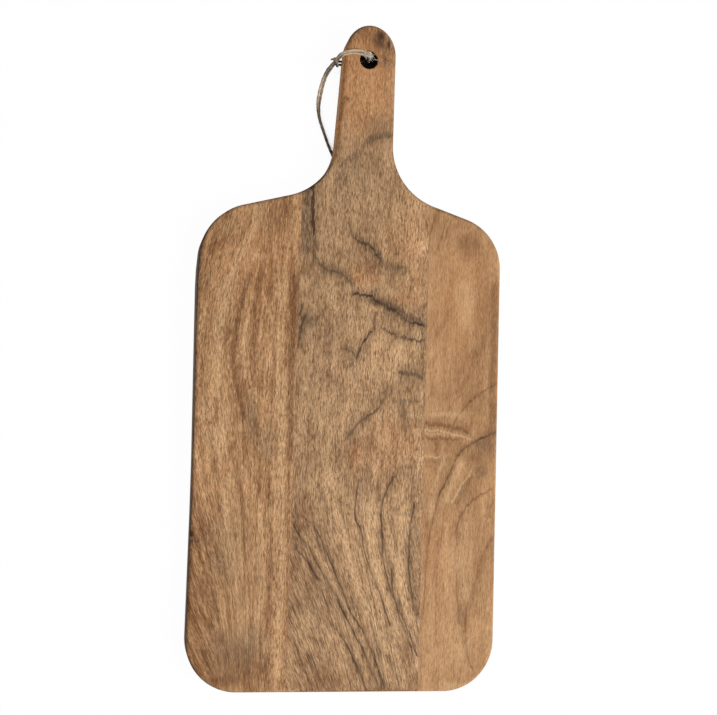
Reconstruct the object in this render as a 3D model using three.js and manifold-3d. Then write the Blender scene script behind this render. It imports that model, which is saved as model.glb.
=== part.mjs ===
// Paddle-shaped cutting board. Three hardwood staves are glued edge to edge, and the middle one
// runs on into a handle with a hanging hole. A loop of twine is girth-hitched through the hole:
// its doubled middle wraps its own two strands, and its ends are tied in a knot.
// Millimetres. X runs across the board, Y from its foot to its handle, Z up from the table.
import * as THREE from 'three';
import { mergeVertices } from 'three/addons/utils/BufferGeometryUtils.js';
import Module from 'manifold-3d';

const wasm = await Module();
wasm.setup();

// Board
const BOARD_WIDTH = 200;
const BOARD_LENGTH = 438;
const BOARD_THICKNESS = 18;
const EDGE_ROUND = 2.5;
const FOOT_CORNER_RADIUS = 33;
const SHOULDER_HEIGHT = 303.3;
const SHOULDER_RADIUS = 34;

// Handle: it leans a little to the right of the board's middle
const NECK_RISE = 23.7;
const NECK_RADIUS = 41;
const HANDLE_ROOT_WIDTH = 39.9;
const HANDLE_ROOT_OFFSET = 4.1;
const HANDLE_TIP_WIDTH = 34.4;
const HANDLE_TIP_OFFSET = 7.1;
const HANDLE_TIP_RISE = 20.4;

// Hanging hole
const HOLE_DIAMETER = 12;
const HOLE_RIM_ROUND = 1;
const HOLE_OFFSET = 5.7;
const HOLE_TO_TIP = 24.2;

// Staves and the glue lines between them
const LEFT_STAVE_WIDTH = 64;
const RIGHT_STAVE_WIDTH = 50;
const GLUE_THICKNESS = 0.2;

// Twine
const TWINE_DIAMETER = 1.7;
const TWINE_CLEARANCE = 0.3;
const STRAND_RISE = 2;
const KNOT_DIAMETER = 4.6;
const KNOT_END_DIAMETER = 4.2;
const KNOT_LENGTH = 6.4;
const KNOT_PLACE = [-8.3, -79.3];
const KNOT_HEADING = THREE.MathUtils.degToRad(25);

// Facets
const OUTLINE_SEGMENTS = 10;
const EDGE_SEGMENTS = 3;
const HOLE_SEGMENTS = 40;
const TWINE_SIDES = 8;
const STEPS_PER_POINT = 2;
const KNOT_SEGMENTS = 16;

const LEFT_SEAM = -BOARD_WIDTH / 2 + LEFT_STAVE_WIDTH;
const RIGHT_SEAM = BOARD_WIDTH / 2 - RIGHT_STAVE_WIDTH;
const NECK_HEIGHT = SHOULDER_HEIGHT + NECK_RISE;
const HOLE_HEIGHT = BOARD_LENGTH - HOLE_TO_TIP;
const TWINE_RADIUS = TWINE_DIAMETER / 2;

// The knot lies under the neck, so the board rests on its foot and on the knot, slightly tilted.
const KNOT_HEIGHT_UP_BOARD = HOLE_HEIGHT + KNOT_PLACE[1];
const TILT = Math.asin((KNOT_DIAMETER + TWINE_CLEARANCE) / (KNOT_HEIGHT_UP_BOARD - EDGE_ROUND));

const woodLeft = new THREE.MeshStandardMaterial({ color: 0xa87f5b, roughness: 0.6, metalness: 0 });
const woodCentre = new THREE.MeshStandardMaterial({ color: 0xa38160, roughness: 0.6, metalness: 0 });
const woodRight = new THREE.MeshStandardMaterial({ color: 0xb28962, roughness: 0.6, metalness: 0 });
const glue = new THREE.MeshStandardMaterial({ color: 0x6b4a30, roughness: 0.5, metalness: 0 });
const jute = new THREE.MeshStandardMaterial({ color: 0x9c8a70, roughness: 0.95, metalness: 0 });

// Solids for cutting and joining

function solidOf(geometry) {
  const bare = geometry.clone();
  bare.deleteAttribute('normal');
  bare.deleteAttribute('uv');
  const merged = mergeVertices(bare);
  return new wasm.Manifold(new wasm.Mesh({
    numProp: 3,
    vertProperties: new Float32Array(merged.attributes.position.array),
    triVerts: new Uint32Array(merged.index.array),
  }));
}

function geometryOf(solid) {
  const mesh = solid.getMesh();
  const geometry = new THREE.BufferGeometry();
  geometry.setAttribute('position', new THREE.BufferAttribute(mesh.vertProperties.slice(), 3));
  geometry.setIndex(new THREE.BufferAttribute(mesh.triVerts.slice(), 1));
  geometry.computeVertexNormals();
  return geometry;
}

// Board outline, anticlockwise from the middle of the foot

function addRoundedCorner(path, before, corner, after, radius) {
  const toBefore = before.clone().sub(corner).normalize();
  const toAfter = after.clone().sub(corner).normalize();
  const halfAngle = Math.acos(toBefore.dot(toAfter)) / 2;
  const tangentLength = radius / Math.tan(halfAngle);
  const start = corner.clone().addScaledVector(toBefore, tangentLength);
  const end = corner.clone().addScaledVector(toAfter, tangentLength);
  const inward = toBefore.clone().add(toAfter).normalize();
  const centre = corner.clone().addScaledVector(inward, radius / Math.sin(halfAngle));
  const clockwise = toBefore.cross(toAfter) > 0;
  path.lineTo(start.x, start.y);
  path.absarc(
    centre.x,
    centre.y,
    radius,
    start.sub(centre).angle(),
    end.sub(centre).angle(),
    clockwise,
  );
}

function boardOutline() {
  const halfWidth = BOARD_WIDTH / 2;
  const tipBase = BOARD_LENGTH - HANDLE_TIP_RISE;
  const foot = new THREE.Vector2(0, 0);
  const footRight = new THREE.Vector2(halfWidth, 0);
  const shoulderRight = new THREE.Vector2(halfWidth, SHOULDER_HEIGHT);
  const neckRight = new THREE.Vector2(HANDLE_ROOT_OFFSET + HANDLE_ROOT_WIDTH / 2, NECK_HEIGHT);
  const tipRight = new THREE.Vector2(HANDLE_TIP_OFFSET + HANDLE_TIP_WIDTH / 2, tipBase);
  const tipLeft = new THREE.Vector2(HANDLE_TIP_OFFSET - HANDLE_TIP_WIDTH / 2, tipBase);
  const neckLeft = new THREE.Vector2(HANDLE_ROOT_OFFSET - HANDLE_ROOT_WIDTH / 2, NECK_HEIGHT);
  const shoulderLeft = new THREE.Vector2(-halfWidth, SHOULDER_HEIGHT);
  const footLeft = new THREE.Vector2(-halfWidth, 0);

  const outline = new THREE.Shape();
  outline.moveTo(foot.x, foot.y);
  addRoundedCorner(outline, foot, footRight, shoulderRight, FOOT_CORNER_RADIUS);
  addRoundedCorner(outline, footRight, shoulderRight, neckRight, SHOULDER_RADIUS);
  addRoundedCorner(outline, shoulderRight, neckRight, tipRight, NECK_RADIUS);
  outline.lineTo(tipRight.x, tipRight.y);
  outline.absellipse(
    HANDLE_TIP_OFFSET,
    tipBase,
    HANDLE_TIP_WIDTH / 2,
    HANDLE_TIP_RISE,
    0,
    Math.PI,
    false,
    0,
  );
  addRoundedCorner(outline, tipLeft, neckLeft, shoulderLeft, NECK_RADIUS);
  addRoundedCorner(outline, neckLeft, shoulderLeft, footLeft, SHOULDER_RADIUS);
  addRoundedCorner(outline, shoulderLeft, footLeft, foot, FOOT_CORNER_RADIUS);
  return outline;
}

// The hole's cutter: a plug that flares at both faces, so the rims come out rounded

function holeCutter() {
  const radius = HOLE_DIAMETER / 2;
  const flare = radius + HOLE_RIM_ROUND;
  const profile = [new THREE.Vector2(0, -BOARD_THICKNESS), new THREE.Vector2(flare, -BOARD_THICKNESS)];
  for (let i = 0; i <= EDGE_SEGMENTS; i += 1) {
    const turn = (i / EDGE_SEGMENTS) * (Math.PI / 2);
    const out = flare - HOLE_RIM_ROUND * Math.sin(turn);
    profile.push(new THREE.Vector2(out, HOLE_RIM_ROUND * (1 - Math.cos(turn))));
  }
  for (let i = EDGE_SEGMENTS; i >= 0; i -= 1) {
    const turn = (i / EDGE_SEGMENTS) * (Math.PI / 2);
    const out = flare - HOLE_RIM_ROUND * Math.sin(turn);
    profile.push(new THREE.Vector2(out, BOARD_THICKNESS - HOLE_RIM_ROUND * (1 - Math.cos(turn))));
  }
  profile.push(new THREE.Vector2(flare, 2 * BOARD_THICKNESS));
  profile.push(new THREE.Vector2(0, 2 * BOARD_THICKNESS));
  const cutter = new THREE.LatheGeometry(profile, HOLE_SEGMENTS);
  cutter.rotateX(Math.PI / 2);
  cutter.translate(HOLE_OFFSET, HOLE_HEIGHT, 0);
  return solidOf(cutter);
}

function boardSolid() {
  const blank = new THREE.ExtrudeGeometry(boardOutline(), {
    depth: BOARD_THICKNESS - 2 * EDGE_ROUND,
    curveSegments: OUTLINE_SEGMENTS,
    bevelEnabled: true,
    bevelThickness: EDGE_ROUND,
    bevelSize: EDGE_ROUND,
    bevelOffset: -EDGE_ROUND,
    bevelSegments: EDGE_SEGMENTS,
  });
  blank.translate(0, 0, EDGE_ROUND);
  return solidOf(blank).subtract(holeCutter());
}

// One slice of the board between two planes across its width. Corners on a cut are put exactly
// on its plane, so that neighbouring slices share the face.

function boardSlice(board, from, to) {
  const slab = new THREE.BoxGeometry(to - from, 4 * BOARD_LENGTH, 4 * BOARD_THICKNESS);
  slab.translate((from + to) / 2, 0, 0);
  const geometry = geometryOf(board.intersect(solidOf(slab)));
  const position = geometry.attributes.position;
  for (let i = 0; i < position.count; i += 1) {
    for (const plane of [from, to]) {
      if (Math.abs(position.getX(i) - plane) < GLUE_THICKNESS / 10) {
        position.setX(i, plane);
      }
    }
  }
  return geometry;
}

// Twine route. Each point is placed from the hole's centre: on the board's face or raised above it
// where a strand lies on the other, on the underside, free at a height above the underside, or
// lying at a height above the table.

function free(x, y, height) {
  return new THREE.Vector3(HOLE_OFFSET + x, HOLE_HEIGHT + y, height);
}

function over(x, y, rise = 0) {
  return free(x, y, BOARD_THICKNESS + TWINE_CLEARANCE + TWINE_RADIUS + rise);
}

function under(x, y) {
  return free(x, y, -TWINE_CLEARANCE - TWINE_RADIUS);
}

function lying(x, y, height) {
  const table = -(HOLE_HEIGHT + y - EDGE_ROUND) * Math.sin(TILT);
  return free(x, y, (table + height) / Math.cos(TILT));
}

const LOW = TWINE_RADIUS + TWINE_CLEARANCE / 2;
const HIGH = LOW + STRAND_RISE;
const KNOT_MIDDLE = KNOT_DIAMETER / 2;

const twineRoute = [
  // first strand, from the knot under the neck up to the hitch beside the handle
  lying(-10.6, -76.6, KNOT_MIDDLE),
  lying(-14.6, -69.8, HIGH - 0.4),
  lying(-20.2, -60.1, HIGH),
  lying(-26.4, -44.9, HIGH),
  lying(-29.3, -36.5, HIGH),
  lying(-30.5, -29.7, HIGH),
  free(-31.0, -23.3, 1.5),
  free(-29.0, -12.4, 8.0),
  free(-27.2, -8.1, 12.4),
  free(-25.6, -5.9, 15.0),
  free(-23.2, -3.3, 17.3),
  free(-21.5, -0.7, 18.9),
  free(-19.2, 1.5, 20.4),
  // over the face and down the hole
  over(-16.2, 3.2, 1.4),
  over(-12.8, 4.2, 1.3),
  over(-7.4, 5.0, 0.7),
  over(-2.0, 4.5),
  free(0.4, 4.5, 18.15),
  free(1.4, 4.5, 15.75),
  free(1.4, 4.5, 2.25),
  free(0.4, 4.5, -0.15),
  under(-2.0, 4.5),
  under(-10.0, 3.9),
  under(-17.2, 3.4),
  // up beside the handle, round the two strands and down again
  free(-19.5, 3.3, -0.15),
  free(-20.4, 3.3, 2.25),
  free(-20.9, 2.5, 7.4),
  free(-22.3, 1.1, 11.2),
  free(-24.0, -0.6, 14.0),
  free(-25.2, -1.8, 16.6),
  free(-24.7, -2.3, 18.8),
  free(-22.9, -3.7, 19.8),
  free(-21.2, -5.2, 18.8),
  free(-20.7, -5.7, 16.6),
  free(-20.6, -5.3, 13.8),
  free(-20.5, -4.0, 11.0),
  free(-20.4, -1.6, 6.8),
  free(-20.5, 1.3, 2.25),
  free(-19.6, 1.3, -0.15),
  // back under the board, up the hole and over the face
  under(-17.2, 1.2),
  under(-10.0, 1.7),
  under(-2.0, 2.3),
  free(0.4, 2.3, -0.15),
  free(1.4, 2.3, 2.25),
  free(1.4, 2.3, 15.75),
  free(0.4, 2.3, 18.15),
  over(-2.0, 2.3),
  over(-7.2, 3.0),
  over(-12.6, 2.9),
  over(-15.8, 2.0),
  // second strand, through the hitch and down beside the first to the knot
  free(-18.3, 0.5, 19.1),
  free(-20.3, -1.3, 17.4),
  free(-22.3, -3.4, 15.4),
  free(-24.0, -6.1, 13.4),
  free(-25.5, -8.1, 11.4),
  free(-27.4, -12.3, 6.8),
  free(-29.1, -22.7, 0.2),
  lying(-29.2, -29.2, LOW + 0.3),
  lying(-28.5, -36.1, LOW + 0.2),
  lying(-25.7, -44.6, LOW + 0.1),
  lying(-19.4, -59.7, LOW + 0.1),
  lying(-12.9, -68.9, LOW + 0.4),
  lying(-8.7, -75.7, KNOT_MIDDLE),
];

// Steps follow the route's points, so the tight bends, where points are close, get short steps.

class HandPlacedRoute extends THREE.CatmullRomCurve3 {
  getUtoTmapping(share) {
    return share;
  }
}

function twineTube(points) {
  const section = [];
  for (let i = 0; i < TWINE_SIDES; i += 1) {
    const turn = (i / TWINE_SIDES) * 2 * Math.PI;
    section.push(new THREE.Vector2(TWINE_RADIUS * Math.cos(turn), TWINE_RADIUS * Math.sin(turn)));
  }
  return new THREE.ExtrudeGeometry(new THREE.Shape(section), {
    steps: STEPS_PER_POINT * (points.length - 1),
    bevelEnabled: false,
    extrudePath: new HandPlacedRoute(points),
  });
}

// Knot: a barrel whose flat ends the two strands run into

function knotBarrel() {
  const half = KNOT_LENGTH / 2;
  const end = KNOT_END_DIAMETER / 2;
  const profile = [
    new THREE.Vector2(0, -half),
    new THREE.Vector2(end, -half),
    new THREE.Vector2(KNOT_DIAMETER / 2, 0),
    new THREE.Vector2(end, half),
    new THREE.Vector2(0, half),
  ];
  return new THREE.LatheGeometry(profile, KNOT_SEGMENTS);
}

// Assembly

function addPiece(group, name, geometry, material) {
  const piece = new THREE.Mesh(geometry, material);
  piece.name = name;
  group.add(piece);
  return piece;
}

const board = boardSolid();
const halfGlue = GLUE_THICKNESS / 2;
const tiltedBoard = new THREE.Group();
const slices = [
  ['left_stave', -BOARD_WIDTH, LEFT_SEAM - halfGlue, woodLeft],
  ['left_glue_line', LEFT_SEAM - halfGlue, LEFT_SEAM + halfGlue, glue],
  ['centre_stave', LEFT_SEAM + halfGlue, RIGHT_SEAM - halfGlue, woodCentre],
  ['right_glue_line', RIGHT_SEAM - halfGlue, RIGHT_SEAM + halfGlue, glue],
  ['right_stave', RIGHT_SEAM + halfGlue, BOARD_WIDTH, woodRight],
];
for (const [name, from, to, material] of slices) {
  addPiece(tiltedBoard, name, boardSlice(board, from, to), material);
}
addPiece(tiltedBoard, 'twine_loop', twineTube(twineRoute), jute);
const knot = addPiece(tiltedBoard, 'twine_knot', knotBarrel(), jute.clone());
knot.position.copy(lying(KNOT_PLACE[0], KNOT_PLACE[1], KNOT_MIDDLE));
knot.rotation.z = KNOT_HEADING;

// The tilted board stands on the table, with the origin under the middle of its box.
tiltedBoard.rotation.x = TILT;
tiltedBoard.position.set(
  0,
  (BOARD_THICKNESS * Math.sin(TILT) - BOARD_LENGTH * Math.cos(TILT)) / 2,
  -EDGE_ROUND * Math.sin(TILT),
);

const cuttingBoard = new THREE.Group();
cuttingBoard.add(tiltedBoard);

export default cuttingBoard;
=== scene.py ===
"""Looks of a paddle-shaped cutting board around its solids: staves of figured wood and a twine loop."""
import math

import bmesh
import bpy
import numpy as np
from mathutils import Matrix, Vector


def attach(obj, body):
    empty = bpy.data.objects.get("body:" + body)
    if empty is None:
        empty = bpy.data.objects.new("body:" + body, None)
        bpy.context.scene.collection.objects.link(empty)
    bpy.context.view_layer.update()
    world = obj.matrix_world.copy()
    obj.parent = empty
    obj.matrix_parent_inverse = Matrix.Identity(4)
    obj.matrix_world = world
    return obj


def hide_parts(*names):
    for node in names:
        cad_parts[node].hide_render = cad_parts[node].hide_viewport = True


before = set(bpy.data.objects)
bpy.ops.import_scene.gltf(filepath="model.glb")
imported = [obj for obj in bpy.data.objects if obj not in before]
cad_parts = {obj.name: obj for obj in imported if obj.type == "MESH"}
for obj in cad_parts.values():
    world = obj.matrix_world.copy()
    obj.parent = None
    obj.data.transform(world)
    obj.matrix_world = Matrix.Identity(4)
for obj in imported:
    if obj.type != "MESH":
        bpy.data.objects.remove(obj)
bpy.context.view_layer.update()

# Sizes of the board in millimetres: X from its middle, Y from its foot, Z from its underside
BOARD_WIDTH = 200
BOARD_LENGTH = 438
BOARD_THICKNESS = 18
EDGE_ROUND = 2.5
FOOT_CORNER_RADIUS = 33
SHOULDER_HEIGHT = 303.3
SHOULDER_RADIUS = 34
NECK_HEIGHT = 327
NECK_RADIUS = 41
HANDLE_ROOT_WIDTH = 39.9
HANDLE_ROOT_OFFSET = 4.1
HANDLE_TIP_WIDTH = 34.4
HANDLE_TIP_OFFSET = 7.1
HANDLE_TIP_RISE = 20.4
HOLE_RADIUS = 6
HOLE_RIM_ROUND = 1
HOLE_SIDES = 64
HOLE_OFFSET = 5.7
HOLE_HEIGHT = BOARD_LENGTH - 24.2
LEFT_SEAM = -36
RIGHT_SEAM = 50
HALF_GLUE = 0.1
# How far the hand-cut left side stands out beyond its straight line, by height over the foot
LEFT_SWELL = (
    (115, 0), (144, 0.25), (190, 1.2), (230, 2.0), (264, 2.6), (280, 1.5), (294, 0), (305, -0.7), (311, 0),
)
SWELL_START = -60  # only what lies left of this swells
SWELL_LEAN = 0.33  # share of the swelling that the underside has and the face lacks

# Sizes of the twine
TWINE_DIAMETER = 1.7
TWINE_RADIUS = TWINE_DIAMETER / 2
TWINE_CLEARANCE = 0.3
STRAND_RISE = 2
KNOT_DIAMETER = 4.6
KNOT_LENGTH = 6.4
KNOT_PLACE = (-8.3, -79.3)
KNOT_HEADING = math.radians(25)

# The board lies on its foot and on the knot under its neck
TILT = math.asin((KNOT_DIAMETER + TWINE_CLEARANCE) / (HOLE_HEIGHT + KNOT_PLACE[1] - EDGE_ROUND))
MM = 0.001
BOARD_TO_ROW = (
    Matrix.Translation((
        0,
        MM * (BOARD_THICKNESS * math.sin(TILT) - BOARD_LENGTH * math.cos(TILT)) / 2,
        -MM * EDGE_ROUND * math.sin(TILT),
    ))
    @ Matrix.Rotation(TILT, 4, "X")
)

# Camera, as fitted to the photograph: its place over the board in millimetres and its turns
IMAGE_WIDTH = 717
IMAGE_HEIGHT = 715
FOCAL_PIXELS = 1200
SENSOR_WIDTH = 36
CAMERA_PLACE = (-141.5, 147.0, 784.3)
CAMERA_PAN = math.radians(-10.79)
CAMERA_TILT = math.radians(4.93)
CAMERA_ROLL = math.radians(1.7)
CAMERA_TURN = (
    Matrix.Rotation(CAMERA_PAN, 4, "Y")
    @ Matrix.Rotation(CAMERA_TILT, 4, "X")
    @ Matrix.Rotation(CAMERA_ROLL, 4, "Z")
)


def make_camera():
    data = bpy.data.cameras.new("camera")
    data.sensor_fit = "HORIZONTAL"
    data.sensor_width = SENSOR_WIDTH
    data.lens = FOCAL_PIXELS * SENSOR_WIDTH / IMAGE_WIDTH
    data.clip_start = 0.01
    camera = bpy.data.objects.new("camera", data)
    camera.matrix_world = BOARD_TO_ROW @ Matrix.Translation(MM * Vector(CAMERA_PLACE)) @ CAMERA_TURN
    bpy.context.scene.collection.objects.link(camera)
    bpy.context.scene.camera = camera


def on_face(pixel):
    """The point of the face that the photograph shows at a pixel, in metres from the middle of the foot."""
    ray = Vector((
        (pixel[0] - IMAGE_WIDTH / 2) / FOCAL_PIXELS,
        (IMAGE_HEIGHT / 2 - pixel[1]) / FOCAL_PIXELS,
        -1,
    ))
    ray = CAMERA_TURN.to_3x3() @ ray
    place = Vector(CAMERA_PLACE)
    hit = place + ray * (BOARD_THICKNESS - place.z) / ray.z
    return MM * hit.x, MM * hit.y


PIXEL = 0.00065  # metres on the face that one pixel covers

make_camera()


# Meshes

def unit(vector):
    return vector / np.linalg.norm(vector)


def add_object(name, mesh, body, material):
    piece = bpy.data.objects.new(name, mesh)
    bpy.context.scene.collection.objects.link(piece)
    piece.matrix_world = BOARD_TO_ROW
    mesh.materials.append(material)
    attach(piece, body)
    return piece


def rounded_corner(before, corner, after, radius, steps):
    """Points of the arc that rounds a corner between two straight sides."""
    to_before = (before - corner).normalized()
    to_after = (after - corner).normalized()
    half_angle = to_before.angle(to_after) / 2
    centre = corner + (to_before + to_after).normalized() * radius / math.sin(half_angle)
    start = corner + to_before * radius / math.tan(half_angle) - centre
    end = corner + to_after * radius / math.tan(half_angle) - centre
    turn = math.atan2(start.x * end.y - start.y * end.x, start.dot(end))
    first = math.atan2(start.y, start.x)
    angles = [first + turn * i / steps for i in range(steps + 1)]
    return [centre + radius * Vector((math.cos(a), math.sin(a))) for a in angles]


def board_outline(steps=24):
    """Points of the board's outline, from the foot's right corner up and round to its left corner."""
    half = BOARD_WIDTH / 2
    tip_base = BOARD_LENGTH - HANDLE_TIP_RISE
    right, left = [
        [
            Vector((0, 0)),
            Vector((side * half, 0)),
            Vector((side * half, SHOULDER_HEIGHT)),
            Vector((HANDLE_ROOT_OFFSET + side * HANDLE_ROOT_WIDTH / 2, NECK_HEIGHT)),
            Vector((HANDLE_TIP_OFFSET + side * HANDLE_TIP_WIDTH / 2, tip_base)),
        ]
        for side in (1, -1)
    ]
    left.reverse()
    points = rounded_corner(*right[0:3], FOOT_CORNER_RADIUS, steps)
    points += rounded_corner(*right[1:4], SHOULDER_RADIUS, steps)
    points += rounded_corner(*right[2:5], NECK_RADIUS, steps)
    for i in range(2 * steps + 1):
        turn = math.pi * i / (2 * steps)
        points.append(Vector((
            HANDLE_TIP_OFFSET + HANDLE_TIP_WIDTH / 2 * math.cos(turn),
            tip_base + HANDLE_TIP_RISE * math.sin(turn),
        )))
    points += rounded_corner(*left[0:3], NECK_RADIUS, steps)
    points += rounded_corner(*left[1:4], SHOULDER_RADIUS, steps)
    side_top = points[-1]
    side_foot = Vector((-half, FOOT_CORNER_RADIUS))
    points += [side_top.lerp(side_foot, i / steps) for i in range(1, steps)]
    points += rounded_corner(*left[2:5], FOOT_CORNER_RADIUS, steps)
    return np.array([p[:] for p in points])


def left_swell(points):
    """How far each point of the outline stands out because the left side was cut by hand."""
    heights, reach = zip(*LEFT_SWELL)
    return np.where(points[:, 0] < SWELL_START, np.interp(points[:, 1], heights, reach), 0)


def inward_normals(points):
    along = np.roll(points, -1, axis=0) - np.roll(points, 1, axis=0)
    along /= np.linalg.norm(along, axis=1)[:, None]
    return np.column_stack((-along[:, 1], along[:, 0]))


def edge_profile(radius, thickness, lip=0.4, steps=6):
    """(inset, height) steps from the face over the rounded edge, down the wall and to the underside."""
    upper = [(radius + lip, thickness)]
    for i in range(steps + 1):
        turn = math.pi / 2 * i / steps
        upper.append((radius * (1 - math.sin(turn)), thickness - radius * (1 - math.cos(turn))))
    lower = [(inset, thickness - height) for inset, height in reversed(upper)]
    return upper + [(0, thickness - radius - lip), (0, radius + lip)] + lower


def ring(mesh, points, height):
    return [mesh.verts.new((MM * x, MM * y, MM * height)) for x, y in points]


def skin(mesh, rings):
    """Quads between rings of vertices that follow each other."""
    count = len(rings[0])
    for above, below in zip(rings, rings[1:]):
        for i in range(count):
            j = (i + 1) % count
            mesh.faces.new((above[i], below[i], below[j], above[j]))


def ring_edges(mesh, loop):
    return [mesh.edges.get((loop[i - 1], loop[i])) for i in range(len(loop))]


def board_mesh():
    """The whole board: rounded edges, flat faces and the hole with its rounded rims."""
    mesh = bmesh.new()
    outline = board_outline()
    inward = inward_normals(outline)
    swell = left_swell(outline)[:, None] * -inward
    outside = []
    for inset, height in edge_profile(EDGE_ROUND, BOARD_THICKNESS):
        share = 1 - SWELL_LEAN * height / BOARD_THICKNESS
        outside.append(ring(mesh, outline + inset * inward + share * swell, height))
    skin(mesh, outside)
    turns = np.linspace(0, 2 * math.pi, HOLE_SIDES, endpoint=False)
    circle = np.column_stack((np.cos(turns), np.sin(turns)))
    centre = np.array((HOLE_OFFSET, HOLE_HEIGHT))
    inside = [
        ring(mesh, centre + (HOLE_RADIUS + inset) * circle, height)
        for inset, height in edge_profile(HOLE_RIM_ROUND, BOARD_THICKNESS, steps=5)
    ]
    skin(mesh, inside)
    for k in (0, -1):
        edges = ring_edges(mesh, outside[k]) + ring_edges(mesh, inside[k])
        bmesh.ops.triangle_fill(mesh, edges=edges, use_beauty=True)
    bmesh.ops.recalc_face_normals(mesh, faces=mesh.faces)
    return mesh


def slice_of(board, start, end):
    """The part of the board between two planes across its width, closed and with crisp cut edges."""
    part = board.copy()
    for place, keeps_right in ((start, True), (end, False)):
        if place is None:
            continue
        everything = part.verts[:] + part.edges[:] + part.faces[:]
        cut = bmesh.ops.bisect_plane(
            part,
            geom=everything,
            dist=1e-7,
            plane_co=(MM * place, 0, 0),
            plane_no=(1, 0, 0),
            clear_inner=keeps_right,
            clear_outer=not keeps_right,
        )
        edges = [e for e in cut["geom_cut"] if isinstance(e, bmesh.types.BMEdge)]
        for edge in edges:
            edge.smooth = False
        bmesh.ops.triangle_fill(part, edges=edges, use_beauty=True)
    bmesh.ops.recalc_face_normals(part, faces=part.faces)
    for face in part.faces:
        face.smooth = True
    mesh = bpy.data.meshes.new("slice")
    part.to_mesh(mesh)
    part.free()
    return mesh


# Node materials

def linear(red, green, blue):
    """A colour as it is read off a picture, for a shader's socket."""
    def one(value):
        value /= 255
        return value / 12.92 if value <= 0.04045 else ((value + 0.055) / 1.055) ** 2.4
    return one(red), one(green), one(blue), 1


BUMP_DISTANCE = 0.0002


class Nodes:
    """Short calls for the nodes of a material or world. Each takes sockets or numbers and gives a socket."""

    def __init__(self, owner):
        owner.use_nodes = True
        self.owner = owner
        self.tree = owner.node_tree
        self.shader = self.tree.nodes.get("Principled BSDF")

    def put(self, socket, value):
        if isinstance(value, bpy.types.NodeSocket):
            self.tree.links.new(value, socket)
        else:
            socket.default_value = value

    def put_all(self, node, **values):
        """Values for a node's inputs, whose names are written with _ for a space."""
        for key, value in values.items():
            self.put(node.inputs[key.replace("_", " ")], value)

    def add(self, kind):
        return self.tree.nodes.new(kind)

    def math(self, operation, *values):
        node = self.add("ShaderNodeMath")
        node.operation = operation
        for socket, value in zip(node.inputs, values):
            self.put(socket, value)
        return node.outputs[0]

    def times(self, first, second):
        return self.math("MULTIPLY", first, second)

    def minus(self, first, second):
        return self.math("SUBTRACT", first, second)

    def larger(self, first, second):
        return self.math("MAXIMUM", first, second)

    def absolute(self, value):
        return self.math("ABSOLUTE", value)

    def fit(self, value, start, end, low=0.0, high=1.0, smooth=True):
        """Low where a value is at start, high where it is at end, and in between a ramp."""
        node = self.add("ShaderNodeMapRange")
        node.interpolation_type = "SMOOTHSTEP" if smooth else "LINEAR"
        self.put_all(node, Value=value, From_Min=start, From_Max=end, To_Min=low, To_Max=high)
        return node.outputs[0]

    def join(self, x, y, z):
        node = self.add("ShaderNodeCombineXYZ")
        for socket, value in zip(node.inputs, (x, y, z)):
            self.put(socket, value)
        return node.outputs[0]

    def noise(self, vector, detail=2.0, roughness=0.5):
        node = self.add("ShaderNodeTexNoise")
        self.put_all(node, Vector=vector, Scale=1, Detail=detail, Roughness=roughness)
        return node.outputs["Fac"]

    def even_noise(self, waves, detail):
        """Noise with the same number of waves per metre in every direction."""
        place = self.add("ShaderNodeTexCoord").outputs["Object"]
        scaled = self.add("ShaderNodeVectorMath")
        scaled.operation = "SCALE"
        self.put_all(scaled, Vector=place, Scale=waves)
        return self.noise(scaled.outputs[0], detail)

    def curve(self, value, points):
        """A smooth curve through points whose values lie from 0 to 1."""
        node = self.add("ShaderNodeFloatCurve")
        self.put(node.inputs["Value"], value)
        line = node.mapping.curves[0]
        for i, (place, height) in enumerate(points):
            point = line.points[i] if i < 2 else line.points.new(place, height)
            point.location = (place, height)
        node.mapping.update()
        return node.outputs[0]

    def mix(self, share, first, second, blend="MIX"):
        node = self.add("ShaderNodeMix")
        node.data_type = "RGBA"
        node.blend_type = blend
        self.put(node.inputs["Factor"], share)
        for socket, value in zip([s for s in node.inputs if s.type == "RGBA"], (first, second)):
            self.put(socket, value)
        return [s for s in node.outputs if s.type == "RGBA"][0]

    def shaded(self, colour, level):
        """A colour times a plain level."""
        return self.mix(1.0, colour, self.join(level, level, level), "MULTIPLY")

    def bump(self, height, strength):
        node = self.add("ShaderNodeBump")
        self.put_all(node, Height=height, Strength=strength, Distance=BUMP_DISTANCE)
        self.put(self.shader.inputs["Normal"], node.outputs[0])

    def seen_directly(self):
        """1 for a ray from the camera or in a mirror or glass, which sees the plain white background."""
        path = self.add("ShaderNodeLightPath").outputs
        first = self.larger(path["Is Camera Ray"], path["Is Glossy Ray"])
        return self.larger(first, path["Is Transmission Ray"])


def new_material(name):
    return Nodes(bpy.data.materials.new(name))


# Looks of the wood. Colours are as they are read off a picture
# Stain and ink marks also hold a few strokes of painted shade along edges, noted where they stand
PAINTS = {
    "warm": (176, 122, 78),
    "brown": (112, 72, 42),
    "grey": (124, 98, 72),
    # Pale marks are the wood's own, except for one painted highlight on the foot's edge, noted where it
    # stands
    "pale_and_edge_light": (210, 170, 126),
    "stain_and_edge_shade": (58, 34, 24),
}
PORE = (78, 52, 32)
FLECK = (222, 186, 146)
INK_AND_EDGE_SHADE = (44, 29, 20)
# Painted shade on the wall of the hole
BORE_SHADE = (24, 16, 12)
# Painted shade: every wall gets the first share of the wood's colour. Edges facing the handle, and walls
# near the underside, get the darker share below it
WALL_SHADE = (0.8, 0.72, 0.64)  # shares of the wood's colour on its walls
SHADE_AND_LOW_EDGE = (0.3, 0.25, 0.2)
# How far the fibres wander from their flow, and drawn lines from their places, in metres
FIBRE_WANDER = 0.0014
LINE_SWAY = 0.0022
LINE_RAGGEDNESS = 0.006
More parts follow.
